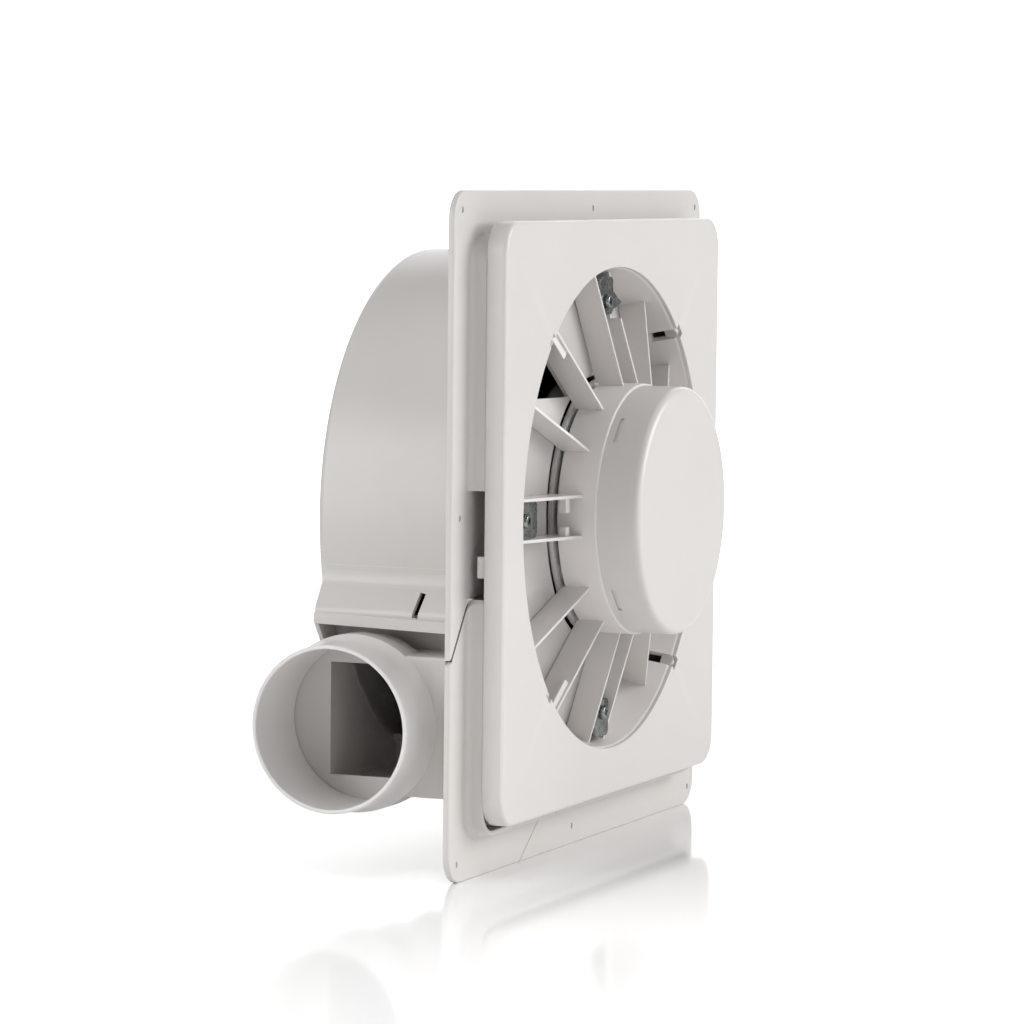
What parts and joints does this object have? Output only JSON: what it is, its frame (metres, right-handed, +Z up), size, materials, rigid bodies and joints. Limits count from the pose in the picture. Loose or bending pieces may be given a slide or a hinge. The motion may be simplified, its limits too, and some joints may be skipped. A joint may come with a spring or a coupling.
{
  "type": "wall exhaust fan",
  "caption": "Flush wall exhaust fan: square frame and front plate, round drum behind, radial ribs round a central motor hub, round duct spigot at the lower corner.",
  "frame": {"origin": "centre of the wall frame's back face, on the wall's surface", "axes": "+Z up, +Y into the wall (the room side faces -Y), +X to the right seen from the room"},
  "size_m": [0.313, 0.1456, 0.305],
  "materials": {
    "housing_plastic": "warm off-white, low gloss, very fine moulded texture",
    "insert_plastic": "warm off-white, satin gloss",
    "zinc_plate": "pressed steel with a bright zinc coat",
    "motor_steel": "plain pressed steel sheet",
    "bearing_steel": "ground steel",
    "core_steel": "stacked steel sheet",
    "copper_wire": "lacquered copper wire",
    "board_laminate": "green board",
    "dark_plastic": "dark, fine grain",
    "brass": "plain turned brass",
    "gland_plastic": "light grey, fine grain",
    "wheel_plastic": "black, fine grain"
  },
  "bodies": {
    "housing": {"wall_frame": "housing_plastic", "fan_drum": "housing_plastic", "drum_screws": "zinc_plate", "corner_outlet": "housing_plastic", "outlet_screw": "zinc_plate", "duct_spigot": "housing_plastic", "junction_box": "housing_plastic", "terminal_block": "dark_plastic", "terminal_screws": "brass", "cable_gland": "gland_plastic", "front_plate": "insert_plastic", "opening_wall": "insert_plastic", "inlet_ribs": "insert_plastic", "rib_hooks": "insert_plastic", "cover_catches": "insert_plastic", "inlet_ring": "insert_plastic", "clamp_claws": "zinc_plate", "clamp_screws": "zinc_plate", "motor_bowl": "insert_plastic", "hub_cap": "insert_plastic", "motor_plate": "motor_steel", "plate_screws": "zinc_plate", "motor_case": "motor_steel", "stator_core": "core_steel", "stator_winding": "copper_wire", "front_bearing": "bearing_steel", "rear_bearing": "bearing_steel", "control_board": "board_laminate", "capacitor": "dark_plastic"},
    "fan_wheel": {"motor_shaft": "bearing_steel", "rotor_core": "core_steel", "wheel_bush": "wheel_plastic", "wheel_disc": "wheel_plastic", "wheel_blades": "wheel_plastic", "wheel_rim": "wheel_plastic", "wheel_nut": "zinc_plate"}
  },
  "joints": [
    {"name": "fan_spin", "type": "hinge", "parent": "housing", "child": "fan_wheel", "pos_m": [0, 0, 0.005], "axis": [0, 1, 0], "continuous": true}
  ]
}
